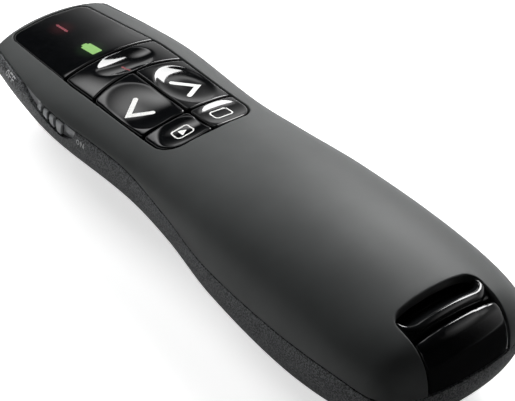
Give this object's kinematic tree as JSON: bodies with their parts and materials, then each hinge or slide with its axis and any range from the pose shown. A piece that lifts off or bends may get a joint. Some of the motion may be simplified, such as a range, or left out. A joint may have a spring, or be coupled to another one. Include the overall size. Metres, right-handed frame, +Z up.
{
  "type": "wireless presentation clicker",
  "caption": "Waisted hand-held presentation clicker with an inlaid key panel, nose laser, slide switch, sliding battery door and a plug-in receiver stowed in the tail.",
  "frame": {"origin": "middle of the outline in plan, at the lowest face of the belly", "axes": "+Y towards the nose with the laser, +Z up through the keys, -X the flank with the power switch"},
  "size_m": [0.0378, 0.1156, 0.0256],
  "materials": {
    "soft_touch_shell": "soft-touch painted ABS",
    "spark_shell": "spark-textured ABS",
    "gloss_black": "gloss ABS",
    "smoked_window": "smoked acrylic",
    "switch_grey": "satin ABS",
    "black_plastic": "moulded ABS",
    "spring_steel": "nickel-plated spring steel",
    "cell_wrap": "wrapped cell",
    "board_green": "solder-masked laminate",
    "chip_black": "epoxy",
    "can_metal": "tinned steel",
    "plunger_tan": "nylon",
    "brass": "turned brass",
    "lens_clear": "polished",
    "led_green": "clear epoxy",
    "led_red": "clear epoxy",
    "screw_steel": "zinc-plated",
    "plug_steel": "nickel-plated",
    "tongue_white": "moulded"
  },
  "bodies": {
    "casing": {"upper_shell": "soft_touch_shell", "lower_shell": "spark_shell", "indicator_window": "smoked_window", "finger_scoop": "gloss_black", "receiver_bay": "black_plastic", "battery_tray": "black_plastic", "contact_front": "spring_steel", "contact_rear": "spring_steel", "contact_spring_left": "spring_steel", "contact_spring_right": "spring_steel", "battery_left": "cell_wrap", "battery_right": "cell_wrap", "main_board": "board_green", "tact_switch_laser": "chip_black", "tact_switch_back": "chip_black", "tact_switch_forward": "chip_black", "tact_switch_play": "chip_black", "tact_switch_blank": "chip_black", "slide_switch": "can_metal", "radio_chip": "chip_black", "crystal": "can_metal", "laser_barrel": "brass", "laser_lens": "lens_clear", "laser_driver": "board_green", "led_board": "board_green", "battery_led": "led_green", "laser_led": "led_red", "casing_screws": "screw_steel"},
    "power_switch": {"power_switch": "switch_grey", "switch_actuator": "black_plastic"},
    "receiver": {"receiver_cover": "gloss_black", "receiver_base": "gloss_black", "receiver_board": "board_green", "receiver_chip": "chip_black", "usb_shell": "plug_steel", "usb_tongue": "tongue_white"},
    "battery_door": {"battery_door": "spark_shell"},
    "laser_button": {"laser_button": "gloss_black", "plunger_laser": "plunger_tan"},
    "back_button": {"back_button": "gloss_black", "plunger_back": "plunger_tan"},
    "forward_button": {"forward_button": "gloss_black", "plunger_forward": "plunger_tan"},
    "play_button": {"play_button": "gloss_black", "plunger_play": "plunger_tan"},
    "blank_button": {"blank_button": "gloss_black", "plunger_blank": "plunger_tan"}
  },
  "joints": [
    {"name": "laser_press", "type": "slide", "parent": "casing", "child": "laser_button", "axis": [0, 0, -1], "range_m": [0, 0.0005], "stiffness_N_per_m": 160},
    {"name": "back_press", "type": "slide", "parent": "casing", "child": "back_button", "axis": [0, 0, -1], "range_m": [0, 0.0005], "stiffness_N_per_m": 160},
    {"name": "forward_press", "type": "slide", "parent": "casing", "child": "forward_button", "axis": [0, 0, -1], "range_m": [0, 0.0005], "stiffness_N_per_m": 160},
    {"name": "play_press", "type": "slide", "parent": "casing", "child": "play_button", "axis": [0, 0, -1], "range_m": [0, 0.0005], "stiffness_N_per_m": 160},
    {"name": "blank_press", "type": "slide", "parent": "casing", "child": "blank_button", "axis": [0, 0, -1], "range_m": [0, 0.0005], "stiffness_N_per_m": 160},
    {"name": "power_slide", "type": "slide", "parent": "casing", "child": "power_switch", "axis": [0, 1, 0], "range_m": [0, 0.0025]},
    {"name": "receiver_pull", "type": "slide", "parent": "casing", "child": "receiver", "axis": [0, -1, 0], "range_m": [0, 0.05]},
    {"name": "door_slide", "type": "slide", "parent": "casing", "child": "battery_door", "axis": [0, -1, 0], "range_m": [0, 0.056]}
  ]
}
